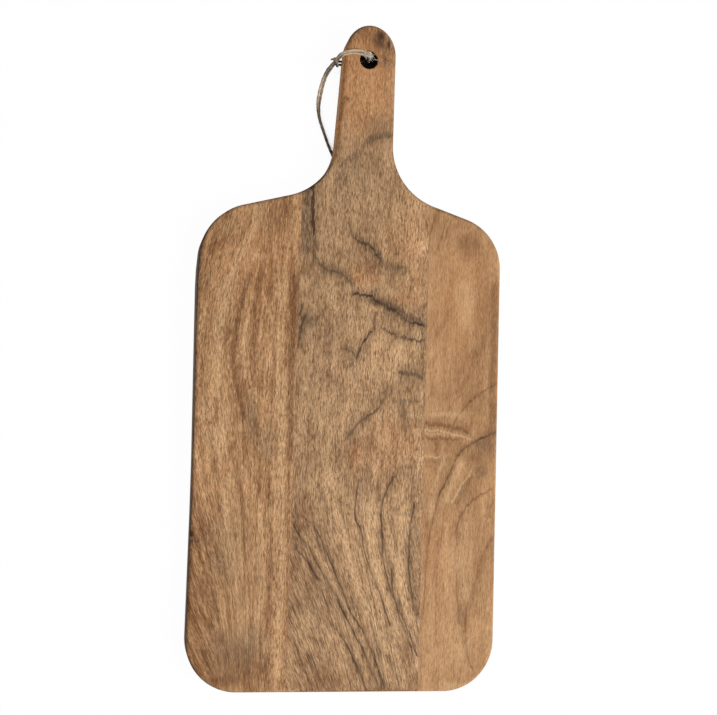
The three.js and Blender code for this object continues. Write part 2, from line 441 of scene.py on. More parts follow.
# A stroke's soft surroundings: how many of its widths they reach, and how strong they are beside it
STROKE_HAZE = 3.5
HAZE_STRENGTH = 0.35
STROKE_BODY = (0.2, 0.8)  # shares of its width between which the stroke itself ends
# A stroke's ends fade over this many pixels or widths, and over no more than this share of half its length
FADE_PIXELS = 7
FADE_WIDTHS = 2.5
FADE_SHARE = 0.6
PATCH_CORE = 0.9  # how far in from its rim a patch is at its strongest
# Heights over the foot between which the handle's calmer wood and the foot's dark lines set in, in metres
HANDLE_ZONE = (0.335, 0.365)
HANDLE_CONTRAST = 0.8
FOOT_ZONE = (0.15, 0.08)
# Heights over the underside between which the marks and the walls' darker lower part set in, in metres
MARK_ZONE = (0.006, 0.015)
LOW_EDGE_ZONE = (0.006, 0.002)
# Levels of noise between which fine lines, flecks and pores set in
LINE_ONSET = (0.5, 0.68)
FLECK_ONSET = (0.46, 0.3)
FLECK_STRENGTH = 0.5
PORE_ONSET = (0.52, 0.66)
# Two levels of noise, and what it gives at them: breaks in inked lines and in painted edge shade, and
# roughness
LINE_BREAK_FIBRES = (0.3, 0.6, 0.75, 1.1)
LINE_BREAK_PATCHES = (0.35, 0.6, 0.7, 1.2)
WOOD_ROUGHNESS = (0.3, 0.7, 0.7, 0.56)
FIBRE_SHADE = (0.25, 0.75)  # levels of noise at which fibres are darkest and lightest
# Millimetres round the hole between which its wall of painted shade starts, and how far below the face it
# does
BORE_SHADE_REACH = (0.7, 0.1)
BORE_SHADE_START = 0.3
WOOD_GLOSS = 0.12
WOOD_BUMP = 0.35
# Parts of a surface's direction between which walls, left walls and walls towards the handle set in, each
# with its painted shade
WALL_BLEND = 0.5
LEFT_FACING = (-0.2, -0.6)
HANDLE_FACING = (0.1, 0.5)


class Wood(Nodes):
    """Figured hardwood. Its lines and tints lie where the photograph shows them, and noise is the rest."""

    def __init__(self, name, seed, bend):
        super().__init__(bpy.data.materials.new(name))
        place = self.add("ShaderNodeTexCoord").outputs["Object"]
        parts = self.add("ShaderNodeSeparateXYZ")
        self.put(parts.inputs[0], place)
        self.x, self.y, self.z = parts.outputs
        self.seed = seed
        self.flow = self.minus(self.x, bend(self))
        self.flow = self.shifted(self.flow, self.grain(380, 190, shift=53), FIBRE_WANDER)
        sway = self.grain(150, 90, detail=3)
        ragged = self.grain(650, 60, shift=5, detail=3, roughness=0.6)
        self.pen_x = self.shifted(self.x, sway, LINE_SWAY)
        self.pen_y = self.shifted(self.y, ragged, LINE_RAGGEDNESS)
        self.pen = self.join(self.pen_x, self.pen_y, 0.0)
        self.depth = self.fit(self.z, *MARK_ZONE)

    def shifted(self, value, noise, reach):
        """A value moved up or down by noise, whose middle level leaves it as it is."""
        return self.math("MULTIPLY_ADD", self.minus(noise, 0.5), reach, value)

    def grain(self, across, along, shift=0, detail=2.0, roughness=0.5):
        """Noise drawn out along the wood. The numbers are waves per metre across and along the grain."""
        x = self.math("MULTIPLY_ADD", self.flow, across, self.seed + shift)
        y = self.math("MULTIPLY_ADD", self.y, along, self.seed)
        return self.noise(self.join(x, y, self.times(self.z, across)), detail, roughness)

    def stroke(self, pixels, width):
        """A line through pixels of the photograph, as wide as so many pixels: 1 on it and 0 beside it."""
        points = np.array([on_face(p) for p in pixels])
        reach = np.ptp(points, axis=0)
        down = 1 if reach[1] >= reach[0] else 0
        pens = (self.pen_x, self.pen_y)
        places, sides = points[:, down], points[:, 1 - down]
        order = places.argsort()
        places, sides = places[order], sides[order]
        first, last = float(places[0]), float(places[-1])
        low = float(sides.min())
        span = max(float(np.ptp(sides)), PIXEL)
        share = self.fit(pens[down], first, last, smooth=False)
        line = self.curve(share, zip((places - first) / (last - first), (sides - low) / span))
        centre = self.math("MULTIPLY_ADD", line, span, low)
        aside = self.absolute(self.minus(pens[1 - down], centre))
        slanted_width = width * PIXEL * math.hypot(1, span / (last - first))
        half = (last - first) / 2
        fade = min(max(FADE_PIXELS, FADE_WIDTHS * width) * PIXEL, FADE_SHARE * half)
        beyond = self.absolute(self.minus(pens[down], (first + last) / 2))
        taper = self.fit(beyond, half - fade / 3, half + fade, 0.0, STROKE_HAZE * slanted_width)
        aside = self.math("ADD", aside, taper)
        body = self.fit(aside, *[share * slanted_width for share in STROKE_BODY], 1.0, 0.0)
        haze = self.fit(aside, 0.0, STROKE_HAZE * slanted_width, HAZE_STRENGTH, 0.0)
        return self.larger(body, haze)

    def patch(self, pixel, width, height):
        """A soft patch round a pixel of the photograph, with half its width and height in pixels."""
        ball = self.add("ShaderNodeTexGradient")
        ball.gradient_type = "SPHERICAL"
        ball.texture_mapping.vector_type = "TEXTURE"
        ball.texture_mapping.translation = (*on_face(pixel), 0)
        ball.texture_mapping.scale = (width * PIXEL, height * PIXEL, 1)
        self.put(ball.inputs[0], self.pen)
        return self.fit(ball.outputs["Fac"], 0.0, PATCH_CORE)

    def marks(self, drawn):
        """All strokes and patches of one kind together, on the face and not on the underside."""
        total = 0.0
        for strength, width, *pixels in drawn:
            if isinstance(width, tuple):
                mark = self.patch(*pixels, *width)
            else:
                mark = self.stroke(pixels, width)
            total = self.larger(total, self.times(mark, strength))
        return self.times(total, self.depth)

    def shaded_bore(self):
        """1 on the drilled wall of the hole, which gets near-black painted shade, and 0 elsewhere."""
        right = self.minus(self.x, MM * HOLE_OFFSET)
        up = self.minus(self.y, MM * HOLE_HEIGHT)
        away = self.math("SQRT", self.math("MULTIPLY_ADD", right, right, self.times(up, up)))
        inside = self.fit(away, *[MM * (HOLE_RADIUS + reach) for reach in BORE_SHADE_REACH])
        depths = (BORE_SHADE_START, HOLE_RIM_ROUND)
        below = self.fit(self.z, *[MM * (BOARD_THICKNESS - depth) for depth in depths])
        return self.times(inside, below)


def wood(
    name, seed, tones, figure, bend, weights, pores, fibres, lines, left_wall_shading=WALL_SHADE, wall_start=0.8,
):
    """One stave's wood. Tones are its dark and light colours, figure the marks drawn on it, and weights
    how strongly broad bands, mottling and streaks shift the tone. Lines are the strengths of fine dark
    lines along the grain, above and at the foot. A surface that faces up less than wall_start is wall.
    Walls get painted shade: left walls get the stave's own share of it, which is painted light where it is
    over 1, and edges that face the handle get more. Walls are also darker near the underside."""
    w = Wood(name, seed, bend)
    calm = w.fit(w.y, *HANDLE_ZONE, 1.0, HANDLE_CONTRAST)
    broad = w.grain(45, 8, detail=3, roughness=0.55)
    mottle = w.grain(120, 70, shift=7, detail=3, roughness=0.6)
    streak = w.grain(260, 22, shift=11, detail=3, roughness=0.65)
    fibre = w.grain(1500, 330, shift=23, detail=3, roughness=0.7)
    cells = w.grain(1700, 210, shift=37, detail=2, roughness=0.5)
    patches = w.grain(70, 55, shift=61, detail=2)
    drawn_out = w.grain(560, 14, shift=71, detail=3, roughness=0.6)
    tone = 0.0
    for layer, weight in zip((broad, mottle, streak), weights):
        tone = w.shifted(tone, layer, weight)
    tone = w.fit(w.math("MULTIPLY_ADD", tone, calm, 0.5), 0.0, 1.0, smooth=False)
    colour = w.mix(tone, linear(*tones[0]), linear(*tones[1]))
    fine_lines = w.times(w.fit(drawn_out, *LINE_ONSET), w.fit(w.y, *FOOT_ZONE, *lines))
    colour = w.mix(w.times(fine_lines, calm), colour, linear(*INK_AND_EDGE_SHADE))
    for kind, paint in PAINTS.items():
        colour = w.mix(w.marks(figure.get(kind, ())), colour, linear(*paint))
    shade = w.fit(fibre, *FIBRE_SHADE, 1 - fibres, 1 + fibres, smooth=False)
    colour = w.mix(calm, colour, w.shaded(colour, shade))
    pores = w.times(w.times(calm, calm), pores)
    fleck = w.times(w.fit(cells, *FLECK_ONSET, 0.0, FLECK_STRENGTH), pores)
    colour = w.mix(fleck, colour, linear(*FLECK))
    pore = w.fit(cells, *PORE_ONSET)
    colour = w.mix(w.times(pore, pores), colour, linear(*PORE))
    # Inked lines, and painted shade along a few edges, broken up by the fibres
    broken = w.times(w.fit(fibre, *LINE_BREAK_FIBRES), w.fit(patches, *LINE_BREAK_PATCHES))
    ink_and_edge_shade = w.times(w.marks(figure.get("ink_and_edge_shade", ())), broken)
    colour = w.mix(ink_and_edge_shade, colour, linear(*INK_AND_EDGE_SHADE))
    normal = w.add("ShaderNodeSeparateXYZ")
    w.put(normal.inputs[0], w.add("ShaderNodeNewGeometry").outputs["Normal"])
    facing_right, facing_handle, facing_up = normal.outputs
    # Painted shade on the walls: darker than the face, left walls by the stave's own share, edges facing the
    # handle darker still, and walls darker near the underside
    side = w.fit(w.absolute(facing_up), wall_start, wall_start - WALL_BLEND)
    shade_and_low_edge = w.larger(w.fit(facing_handle, *HANDLE_FACING), w.fit(w.z, *LOW_EDGE_ZONE))
    tint = w.mix(w.fit(facing_right, *LEFT_FACING), (*WALL_SHADE, 1), (*left_wall_shading, 1))
    tint = w.mix(shade_and_low_edge, tint, (*SHADE_AND_LOW_EDGE, 1))
    colour = w.mix(side, colour, w.mix(1.0, colour, tint, "MULTIPLY"))
    # Painted shade: the wall of the hole is near black, as a deep hole looks
    colour = w.mix(w.shaded_bore(), colour, linear(*BORE_SHADE))
    roughness = w.fit(fibre, *WOOD_ROUGHNESS)
    w.put_all(w.shader, Base_Color=colour, Roughness=roughness, Specular_IOR_Level=WOOD_GLOSS)
    w.bump(w.minus(w.times(fibre, 0.5), pore), WOOD_BUMP)
    return w.owner


# Marks on the staves, in pixels of the photograph. A stroke has its strength, its width and the places that
# it goes through. A patch has its strength, half its width and height, and the place of its middle.
LEFT_FIGURE = {
    "warm": (
        (0.4, 5, (289, 438), (288, 560), (287, 625), (286, 690)),
        (0.4, (50, 70), (250, 262)),
    ),
    "brown": (
        (0.2, 8, (287, 207), (271, 229), (258, 258), (249, 283)),
        (0.95, 6, (252, 272), (244, 293), (237, 325), (233, 352), (235, 375), (240, 397), (245, 420)),
        (0.6, 7, (266, 262), (257, 290), (253, 320), (252, 350), (255, 385)),
        (0.4, (15, 60), (251, 340)),
        (0.85, 7, (294, 272), (293, 332), (291, 375), (290, 430), (289, 462)),
        (0.5, 4, (289, 470), (288, 530), (288, 590)),
        (0.5, 4, (286, 320), (285, 370), (286, 430)),
        (0.5, 3, (289, 438), (288, 560), (287, 625), (286, 690)),
        (0.6, 2.4, (206, 258), (222, 238), (242, 220)),
        (0.6, 3, (230, 262), (240, 240), (254, 216)),
        (0.35, 5, (238, 470), (242, 498), (247, 525), (251, 566)),
        (0.6, 2.4, (203, 528), (218, 554), (230, 589)),
        (0.6, 3, (268, 520), (270, 570), (266, 640)),
        (0.45, 9, (190, 470), (190, 540), (192, 620)),
        (0.5, (20, 30), (198, 610)), (0.55, (40, 14), (236, 672)), (0.45, (46, 26), (220, 668)),
        (0.7, (12, 26), (265, 668)), (0.5, (16, 20), (242, 600)), (0.55, (11, 42), (203, 270)),
        (0.5, (10, 24), (234, 233)), (0.6, (24, 26), (281, 213)), (0.5, (12, 22), (270, 289)),
        (0.75, (8, 20), (239, 367)), (0.4, (6, 12), (213, 369)), (0.65, (12, 26), (253, 430)),
        (0.6, (12, 36), (257, 580)), (0.4, (8, 16), (276, 650)), (0.5, (12, 14), (268, 682)),
        (0.5, (12, 12), (198, 672)), (0.4, (8, 14), (264, 411)), (0.45, (18, 18), (206, 530)),
        (0.65, (13, 28), (202, 590)),
        (0.6, 8, (236, 668), (252, 666), (270, 664)),
        (0.6, (16, 14), (216, 638)), (0.5, (13, 40), (209, 616)), (0.4, (8, 28), (256, 588)),
        (0.85, (34, 12), (224, 680)),
    ),
    "grey": (
        (0.65, (10, 36), (251, 415)), (0.5, (17, 34), (268, 442)), (0.45, (30, 70), (226, 550)),
        (0.55, (45, 34), (238, 648)),
    ),
    "pale_and_edge_light": (
        (0.45, 10, (262, 200), (250, 236), (236, 262), (226, 284), (222, 305), (218, 345), (216, 400)),
        (0.35, (12, 14), (230, 228)),
        (0.5, 5, (279, 330), (278, 380), (280, 440), (282, 517), (278, 680)),
        (0.4, 4, (246, 320), (244, 345), (246, 380)),
        (0.45, (16, 36), (212, 440)), (0.45, (14, 26), (205, 410)),
        (0.55, 8, (229, 284), (226, 300), (223, 318)),
        (0.45, 7, (285, 366), (283, 420), (282, 470), (280, 545)),
        (0.6, (12, 40), (221, 438)), (0.5, (13, 11), (256, 256)), (0.5, (10, 28), (218, 330)),
        (0.35, (9, 34), (282, 290)),
        (0.4, 6, (258, 500), (260, 560), (256, 630)),
        (0.35, 6, (230, 470), (226, 520), (236, 570), (240, 640)),
        (0.4, 4, (247, 590), (247, 615), (246, 645)),
    ),
    "stain_and_edge_shade": (
        (0.98, (5, 6), (191.5, 534)),
        (0.6, 3, (188, 542), (194, 542), (200, 540)),
        # Painted shade: these two strokes darken the upper left edge where it turns away from the light
        (0.6, 2.4, (217, 218), (209, 228), (203, 240), (199, 256), (197, 280), (196, 320)),
        (0.4, 1.8, (196, 310), (195, 360), (194, 400), (193, 440)),
    ),
}
# Dark lines that spread out towards the centre stave's foot
FAN_LINES = (
    (
        (293, 523), (300, 538), (309, 548), (317, 564), (330, 586),
        (344, 614), (357, 638), (367, 660), (380, 690),
    ),
    (
        (297, 515), (311, 523), (322, 541), (330, 560), (339, 582),
        (350, 610), (363, 632), (374, 658), (385, 690),
    ),
    ((295, 547), (309, 564), (318, 580)),
    ((328, 620), (344, 640), (357, 668), (366, 690)),
    ((360, 477), (357, 493), (355, 512), (361, 532), (366, 556), (374, 580), (383, 604), (391, 628)),
    (
        (395, 474), (387, 491), (381, 508), (382, 538), (384, 564),
        (389, 586), (400, 612), (411, 638), (418, 657),
    ),
    ((414, 501), (411, 525), (409, 551), (409, 573), (412, 595), (418, 617)),
    ((391, 566), (394, 596), (402, 624), (412, 650)),
)
CENTRE_FIGURE = {
    "warm": (
        (0.85, (54, 96), (364, 80)), (0.4, (40, 80), (412, 250)), (0.55, (28, 18), (364, 276)),
        (0.55, (38, 14), (404, 299)), (0.5, (9, 26), (356, 456)), (0.3, (50, 60), (392, 440)),
    ),
    "brown": (
        (0.5, (34, 18), (366, 32)),
        (0.55, 7, (378, 30), (384, 45), (386, 58), (386, 64)),
        (0.5, 3, (352, 34), (350, 46), (349, 52)),
        (0.5, 2.5, (368, 30), (369, 40), (369, 50)),
        (0.9, (6, 5), (347, 99)),
        (0.55, 5, (344, 101), (341, 115), (340, 122)),
        (0.6, 6, (358, 437), (354, 455), (350, 470)),
        (0.75, (13, 44), (301, 522)), (0.45, (16, 44), (312, 578)), (0.5, (54, 20), (322, 682)),
        (0.4, 5, (300, 690), (350, 691), (412, 690)),
        (0.4, (20, 44), (364, 246)), (0.6, (26, 16), (371, 266)), (0.3, (10, 18), (300, 460)),
        (0.4, (7, 18), (294, 482)), (0.5, (8, 26), (295, 566)),
        (0.35, 5, (343, 72), (340, 100), (337, 126)),
        (0.25, 4, (357, 66), (355, 92), (352, 120)),
        (0.35, (14, 10), (416, 424)),
        (0.4, 6, (333, 118), (331, 146), (325, 172)),
        (0.55, (9, 16), (339, 551)), (0.4, (10, 16), (334, 652)), (0.4, (12, 26), (408, 655)),
        (0.3, (12, 14), (380, 451)), (0.5, (12, 16), (297, 664)), (0.6, (14, 12), (413, 684)),
    ) + tuple((0.12, 6, *line) for line in FAN_LINES),
    "grey": (
        (0.45, (26, 20), (378, 126)),
        (0.85, 8, (393, 135), (376, 137), (366, 143), (358, 153), (348, 160), (338, 168)),
        (0.5, (46, 56), (360, 166)), (0.22, (60, 220), (322, 260)), (0.2, (40, 140), (312, 480)),
        (0.65, (22, 38), (342, 180)), (0.5, (20, 40), (334, 215)),
        (0.95, 13, (306, 186), (306, 220), (305, 256)),
        (0.4, (30, 26), (322, 330)), (0.75, (14, 24), (307, 323)), (0.6, (12, 28), (345, 203)),
        (0.4, (12, 10), (337, 351)), (0.45, (10, 10), (355, 376)), (0.35, (12, 12), (316, 401)),
        (0.4, (9, 14), (353, 418)), (0.3, (30, 30), (322, 380)), (0.5, (18, 22), (350, 358)),
        (0.7, (16, 18), (354, 168)), (0.55, (12, 20), (393, 632)), (0.5, (17, 16), (407, 473)),
        (0.5, (10, 10), (322, 616)), (0.35, (14, 60), (414, 560)), (0.45, (30, 50), (318, 600)),
        (0.7, 9, (353, 234), (366, 246), (378, 256), (388, 268), (408, 271)),
        (0.6, 10, (312, 256), (325, 270), (345, 276), (354, 292)),
        (0.75, 12, (366, 296), (384, 303), (400, 314), (425, 326)),
        (0.3, 6, (390, 332), (408, 338), (425, 342)),
        (0.3, 6, (374, 330), (362, 350), (350, 352)),
        (0.4, 7, (396, 373), (425, 378)),
        (0.5, 10, (401, 398), (405, 422)),
        (0.5, 9, (386, 388), (378, 406), (358, 424), (347, 440)),
    ),
    "pale_and_edge_light": (
        (0.5, (15, 22), (398, 354)), (0.4, (10, 22), (414, 352)), (0.4, (14, 24), (372, 368)),
        (0.35, (20, 14), (328, 294)), (0.35, (14, 26), (396, 212)), (0.45, (22, 24), (324, 484)),
        (0.2, (24, 26), (322, 412)), (0.65, (9, 24), (417, 338)), (0.35, (14, 14), (389, 372)),
        (0.4, (10, 16), (396, 413)), (0.5, (10, 20), (352, 622)), (0.4, (10, 16), (381, 668)),
        (0.35, (12, 12), (306, 645)), (0.35, (10, 12), (403, 238)), (0.4, (14, 12), (303, 282)),
        (0.4, (12, 14), (337, 306)), (0.45, (17, 28), (424, 246)), (0.45, (12, 9), (389, 293)),
        (0.35, (10, 14), (385, 334)), (0.35, (12, 18), (378, 414)), (0.45, (14, 28), (380, 516)),
        (0.15, (30, 120), (420, 236)), (0.25, (36, 60), (400, 535)), (0.5, (9, 18), (360, 640)),
        (0.3, 5, (373, 66), (372, 92), (372, 116)),
        (0.7, (9, 34), (407, 522)), (0.45, (14, 20), (304, 624)),
        (0.6, 8, (370, 500), (371, 535), (377, 565), (386, 600), (397, 640)),
        (0.5, 7, (343, 535), (355, 575), (369, 612), (385, 650)),
        (0.6, 5, (404, 505), (401, 535), (400, 560), (402, 590), (409, 620)),
        (0.4, 4, (305, 535), (322, 562), (338, 592), (352, 618)),
        (0.2, (26, 40), (362, 86)),
    ),
    "stain_and_edge_shade": (
        (0.98, (7, 11), (381, 36)), (0.8, (11, 16), (380, 41)), (0.95, (4, 9), (389, 44)),
        (0.4, 3, (383, 50), (385, 60), (385, 68)),
        (0.4, 2, (391, 34), (394, 46), (394, 56)),
        (0.95, 5, (312.5, 182), (313, 212), (313.5, 236)),
        (0.6, 4, (313.5, 228), (314.5, 238), (316, 250)),
        (0.9, (8, 5), (391, 309)), (0.55, (12, 6), (376, 302)),
        (0.4, 7, (384, 303), (397, 310), (410, 317), (425, 324)),
        (0.3, 5, (392, 136), (376, 138), (366, 144)),
    ),
    "ink_and_edge_shade": (
        # Painted shade: the first line darkens the handle's upper left edge where it turns away from the
        # light
        (0.7, 1.8, (345, 46), (349, 38), (355, 31), (363, 27)),
        (0.7, 2, (328, 166), (324, 175), (318, 182), (309, 189)),
        (0.6, 2.6, (312, 250), (316, 258), (322, 266), (331, 271), (344, 275), (353, 292)),
        (0.7, 2.2, (348, 221), (351, 230), (354, 239)),
        (0.75, 2.8, (354, 239), (362, 243), (369, 245), (376, 254), (383, 264)),
        (0.35, 3, (385, 262), (396, 266), (408, 268)),
        (0.75, 3, (352, 294), (369, 296), (380, 303), (389, 307), (396, 312), (407, 320), (425, 326)),
        (0.9, 3.8, (383, 304), (390, 308), (397, 312)),
        (0.6, 2.2, (375, 314), (374, 330)),
        (0.65, 2.4, (374, 330), (366, 338), (360, 349), (357, 359)),
        (0.5, 2.2, (358, 359), (350, 351), (343, 349)),
        (0.65, 2.6, (380, 325), (391, 333), (403, 338), (424, 341)),
        (0.6, 3, (303, 303), (301, 310), (299, 316)),
        (0.6, 3, (307, 312), (303, 322), (300, 330)),
        (0.55, 2.6, (302, 326), (299, 340), (297, 350)),
        (0.35, 4, (302, 324), (322, 315)),
        (0.55, 4.4, (398, 373), (410, 374), (424, 379)),
        (0.5, 2.6, (400, 400), (420, 402)),
        (0.55, 2.8, (402, 399), (404, 418), (406, 437)),
        (0.55, 2.4, (388, 385), (381, 404), (369, 415), (357, 425), (347, 439)),
        (0.5, (5, 12), (398, 603)),
        (0.4, 1.8, (337, 499), (354, 510)),
        (0.35, 2, (319, 482), (322, 502)),
    ) + tuple((0.65, 1.8, *line) for line in FAN_LINES),
}
RIGHT_FIGURE = {
    "warm": (
        (0.4, (40, 90), (462, 300)), (0.35, (30, 60), (440, 560)),
    ),
    "brown": (
        (0.55, 2.2, (436, 213), (433, 226), (429, 240), (427, 252)),
        (0.55, 2, (447, 219), (443, 232), (437, 250)),
        (0.45, 2, (453, 218), (448, 230), (444, 244)),
        (0.6, (21, 22), (467, 244)),
        (0.3, 6, (462, 296), (441, 328), (432, 345)),
        (0.4, (13, 26), (474, 352)),
        (0.35, 7, (488, 330), (474, 365), (455, 395)),
        (0.6, 10, (497, 280), (494, 340), (493, 390), (492, 450)),
        (0.35, 4, (423, 600), (421, 650), (420, 690)),
        (0.35, (16, 8), (460, 226)), (0.7, (12, 32), (489, 442)), (0.6, (14, 18), (477, 456)),
        (0.35, 2, (464, 391), (455, 401), (447, 412)),
        (0.75, 2, (497, 384), (486, 390), (475, 398), (464, 409), (456, 419), (451, 433)),
        (0.8, 5, (423, 424), (437, 425), (452, 427), (470, 433)),
        (0.7, 3.4, (425, 437), (446, 439), (464, 438)),
        (0.55, (14, 7), (480, 446)),
        (0.4, 3, (425, 461), (440, 461), (452, 459)),
        (0.7, 2.2, (495, 433), (485, 437), (471, 443), (465, 448), (458, 456), (454, 464)),
        (0.95, 2.2, (454, 464), (444, 484), (438, 500), (432, 525)),
        (0.55, (12, 10), (480, 471)),
        (0.65, 5, (472, 476), (463, 490), (456, 506)),
        (0.7, 2.2, (494, 488), (478, 496), (466, 507), (459, 520), (457, 540)),
        (0.65, 2.6, (457, 538), (456, 562), (457, 590), (460, 625)),
        (0.45, 6, (458, 530), (457, 562), (458, 600)),
        (0.5, 2, (440, 478), (430, 500), (427, 530)),
        (0.55, 2, (432, 523), (428, 545), (425, 580), (423, 620)),
        (0.55, 2.2, (493, 538), (480, 562), (473, 590), (466, 613), (465, 636)),
        (0.4, 6, (486, 552), (475, 586), (468, 612)),
        (0.45, 2, (449, 496), (443, 520), (441, 550)),
        (0.3, 2.4, (494, 500), (484, 530), (480, 560)),
        (0.5, 1.6, (465, 636), (467, 655), (474, 671)),
        (0.35, 2.4, (438, 540), (436, 590), (438, 650)),
    ),
    "grey": (
        (0.5, (6, 16), (461, 612)), (0.5, (14, 9), (484, 447)), (0.45, (12, 12), (481, 471)),
        (0.4, (9, 14), (463, 492)),
    ),
    "pale_and_edge_light": (
        (0.45, 5, (428, 416), (448, 414), (462, 419)),
        (0.6, 2, (423, 430), (438, 431), (452, 434), (472, 439)),
        (0.5, 1.6, (424, 434), (436, 434), (446, 436)),
        (0.6, 1.8, (423, 457), (432, 457), (441, 458)),
        (0.5, 1.8, (472, 471), (462, 486), (451, 504)),
        (0.5, 6, (462, 462), (452, 482), (445, 504)),
        (0.4, 4, (446, 455), (440, 470), (432, 492)),
        (0.5, (16, 50), (466, 302)), (0.4, (26, 34), (454, 560)), (0.3, (12, 10), (471, 345)),
        # Painted highlight: the last patch lightens the foot's rounded edge where the light falls on it
        (0.5, (8, 22), (431, 508)), (0.3, (18, 26), (457, 650)), (0.35, (20, 8), (452, 686)),
        (0.4, (10, 10), (462, 415)),
        (0.35, 5, (447, 520), (446, 560), (448, 600)),
        (0.35, 5, (468, 520), (465, 560), (466, 600)),
    ),
    "ink_and_edge_shade": (
        (0.6, 1.8, (496, 432), (478, 441), (463, 450), (457, 457)),
        (0.4, 1.6, (457, 458), (446, 479), (439, 498)),
        (0.8, (3, 2.4), (458, 456)),
        (0.4, 1.6, (497, 384), (490, 388)),
        # Painted shade: the last line darkens the right shoulder's upper edge where it turns away from the
        # light
        (0.5, 1.6, (436, 209), (448, 213), (460, 217), (472, 223), (481, 230)),
    ),
}


# How the staves' fibres bend: the left ones arch round a height, the centre ones fan out below one
ARCH_HEIGHT = 0.205
ARCH_SIDES = (-0.05, -0.085)
ARCH_LEAN = 1.4
FAN_HEIGHT = 0.125
FAN_EASE = 0.05
FAN_LEAN = (0.55, 0.3)
RIGHT_LEAN = 0.03


def arch(w):
    """The left stave's fibres lean outward above and below its middle, and run straight along its seam."""
    up = w.minus(w.y, ARCH_HEIGHT)
    return w.times(w.times(up, up), w.fit(w.x, *ARCH_SIDES, 0.0, ARCH_LEAN))


def fan_out(w):
    """Towards the foot the centre stave's fibres splay to the right, most at its left side."""
    below = w.larger(w.minus(FAN_HEIGHT, w.y), 0.0)
    run = w.math("DIVIDE", w.times(below, below), w.math("ADD", below, FAN_EASE))
    return w.times(run, w.fit(w.x, MM * LEFT_SEAM, MM * RIGHT_SEAM, *FAN_LEAN))


def lean_right(w):
    return w.times(w.y, RIGHT_LEAN)


# The left stave's left wall gets deep painted shade. The centre stave's left walls get painted light from
# the start of their rounding, so that they read like the face
left_wood = wood(
    "left_wood", 3.0, ((120, 79, 44), (204, 158, 113)), LEFT_FIGURE, arch,
    weights=(1.0, 0.8, 2.2), pores=0.55, fibres=0.68, lines=(0.25, 0.5), left_wall_shading=(0.3, 0.27, 0.23),
)
centre_wood = wood(
    "centre_wood", 17.0, ((122, 89, 58), (202, 161, 120)), CENTRE_FIGURE, fan_out,
    weights=(1.3, 1.1, 1.2), pores=0.6, fibres=0.7, lines=(0.15, 0.7), left_wall_shading=(1.7, 1.4, 1.0),
    wall_start=0.97,
)
right_wood = wood(
    "right_wood", 41.0, ((141, 100, 63), (201, 157, 113)), RIGHT_FIGURE, lean_right,
    weights=(1.2, 0.7, 0.8), pores=0.28, fibres=0.34, lines=(0.08, 0.14),
)

GLUE_DARK = (104, 70, 44)
GLUE_LIGHT = (150, 108, 72)


def glue_material():
    g = new_material("dried_glue")
    patches = g.even_noise(160, 3)
    colour = g.mix(patches, linear(*GLUE_DARK), linear(*GLUE_LIGHT))
    g.put_all(g.shader, Base_Color=colour, Roughness=g.fit(patches, 0.3, 0.7, 0.4, 0.6))
    return g.owner


glue = glue_material()
whole_board = board_mesh()
SLICES = (
    ("left_stave", None, LEFT_SEAM - HALF_GLUE, left_wood, "left_wood"),
    ("left_glue_line", LEFT_SEAM - HALF_GLUE, LEFT_SEAM + HALF_GLUE, glue, "glue"),
    ("centre_stave", LEFT_SEAM + HALF_GLUE, RIGHT_SEAM - HALF_GLUE, centre_wood, "centre_wood"),
    ("right_glue_line", RIGHT_SEAM - HALF_GLUE, RIGHT_SEAM + HALF_GLUE, glue, "glue"),
    ("right_stave", RIGHT_SEAM + HALF_GLUE, None, right_wood, "right_wood"),
)
for node, start, end, material, slot in SLICES:
    piece = add_object(node + "_dressed", slice_of(whole_board, start, end), "board", material)
    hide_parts(node)
whole_board.free()


# Twine: the same route as the solid's, from the hole's centre in millimetres

def free(x, y, height):
    """A place at a height over the board's underside; over, under and lying are ways to give that height."""
    return HOLE_OFFSET + x, HOLE_HEIGHT + y, height


def over(x, y, rise=0):
    return free(x, y, BOARD_THICKNESS + TWINE_CLEARANCE + TWINE_RADIUS + rise)


def under(x, y):
    return free(x, y, -TWINE_CLEARANCE - TWINE_RADIUS)


def lying(x, y, height):
    """A place at a height over the table, from which the tilted board lifts off towards its handle."""
    table = -(HOLE_HEIGHT + y - EDGE_ROUND) * math.sin(TILT)
    return free(x, y, (table + height) / math.cos(TILT))


# Heights over the table at which the lower and the upper strand and the knot lie
LOW = TWINE_RADIUS + TWINE_CLEARANCE / 2
HIGH = LOW + STRAND_RISE
KNOT_MIDDLE = KNOT_DIAMETER / 2

